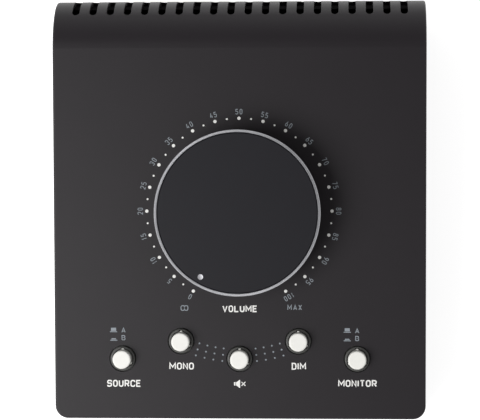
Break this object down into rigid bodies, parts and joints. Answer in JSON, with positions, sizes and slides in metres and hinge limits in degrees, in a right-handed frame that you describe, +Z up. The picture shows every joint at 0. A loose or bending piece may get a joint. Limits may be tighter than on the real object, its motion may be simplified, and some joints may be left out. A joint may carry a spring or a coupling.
{
  "type": "studio monitor controller",
  "caption": "Desktop audio level controller: sloping panel with one large stepless dial knob, latching push buttons, vented rear roll-over and rear jack sockets.",
  "frame": {"origin": "on the table under the middle of the whole object", "axes": "+X to the right, +Y to the rear where the jacks are, +Z up"},
  "size_m": [0.134, 0.1538, 0.0701],
  "materials": {
    "housing_paint": "fine matt black powder coat",
    "chassis_paint": "matt black powder coat",
    "foot_rubber": "moulded",
    "black_screws": "black zinc",
    "zinc_steel": "bright zinc",
    "nickel_nuts": "nickel plate",
    "tinned_pins": "tinned",
    "spring_steel": "drawn wire",
    "board_green": "solder mask",
    "resistor_blue": "lacquered",
    "black_plastic": "moulded",
    "bezel_plastic": "satin moulded",
    "cap_white": "satin moulded",
    "knob_black": "black anodised, bead blasted",
    "ring_bright": "diamond turned",
    "marker_bright": "turned",
    "ribbon_grey": "extruded"
  },
  "bodies": {
    "housing": {"base_chassis": "chassis_paint", "board_resistors": "resistor_blue", "board_screws": "zinc_steel", "button_bezels": "bezel_plastic", "control_board": "board_green", "dim_return_spring": "spring_steel", "housing_screws": "black_screws", "jack_board": "board_green", "jack_bodies": "black_plastic", "jack_nuts": "nickel_nuts", "jack_terminals": "tinned_pins", "jack_washers": "nickel_nuts", "mini_jack_body": "black_plastic", "mini_jack_nut": "nickel_nuts", "monitor_return_spring": "spring_steel", "mono_return_spring": "spring_steel", "mute_return_spring": "spring_steel", "panel_standoffs": "zinc_steel", "pot_bushing_plate": "zinc_steel", "pot_case": "black_plastic", "pot_legs": "tinned_pins", "pot_nut": "zinc_steel", "pot_washer": "zinc_steel", "ribbon_cable": "ribbon_grey", "ribbon_headers": "black_plastic", "ribbon_plugs": "black_plastic", "rubber_feet": "foot_rubber", "source_return_spring": "spring_steel", "switch_bases": "tinned_pins", "switch_housings": "black_plastic", "top_shell": "housing_paint"},
    "volume_knob": {"knob_body": "knob_black", "knob_trim_ring": "ring_bright", "knob_marker": "marker_bright", "knob_hub": "black_plastic", "pot_shaft": "zinc_steel"},
    "source_button": {"source_button_cap": "cap_white", "source_switch_plunger": "black_plastic"},
    "mono_button": {"mono_button_cap": "cap_white", "mono_switch_plunger": "black_plastic"},
    "mute_button": {"mute_button_cap": "cap_white", "mute_switch_plunger": "black_plastic"},
    "dim_button": {"dim_button_cap": "cap_white", "dim_switch_plunger": "black_plastic"},
    "monitor_button": {"monitor_button_cap": "cap_white", "monitor_switch_plunger": "black_plastic"}
  },
  "joints": [
    {"name": "volume_turn", "type": "hinge", "parent": "housing", "child": "volume_knob", "pos_m": [0, -0.00354, 0.06108], "axis": [0, 0.1219, -0.9925], "range_deg": [0, 300]},
    {"name": "source_press", "type": "slide", "parent": "housing", "child": "source_button", "axis": [0, 0.1219, -0.9925], "range_m": [0, 0.0025], "stiffness_N_per_m": 400, "springref_m": -0.0025, "deforming": ["source_return_spring"]},
    {"name": "mono_press", "type": "slide", "parent": "housing", "child": "mono_button", "axis": [0, 0.1219, -0.9925], "range_m": [0, 0.0025], "stiffness_N_per_m": 400, "springref_m": -0.0025, "deforming": ["mono_return_spring"]},
    {"name": "mute_press", "type": "slide", "parent": "housing", "child": "mute_button", "axis": [0, 0.1219, -0.9925], "range_m": [0, 0.0025], "stiffness_N_per_m": 400, "springref_m": -0.0025, "deforming": ["mute_return_spring"]},
    {"name": "dim_press", "type": "slide", "parent": "housing", "child": "dim_button", "axis": [0, 0.1219, -0.9925], "range_m": [0, 0.0025], "stiffness_N_per_m": 400, "springref_m": -0.0025, "deforming": ["dim_return_spring"]},
    {"name": "monitor_press", "type": "slide", "parent": "housing", "child": "monitor_button", "axis": [0, 0.1219, -0.9925], "range_m": [0, 0.0025], "stiffness_N_per_m": 400, "springref_m": -0.0025, "deforming": ["monitor_return_spring"]}
  ]
}
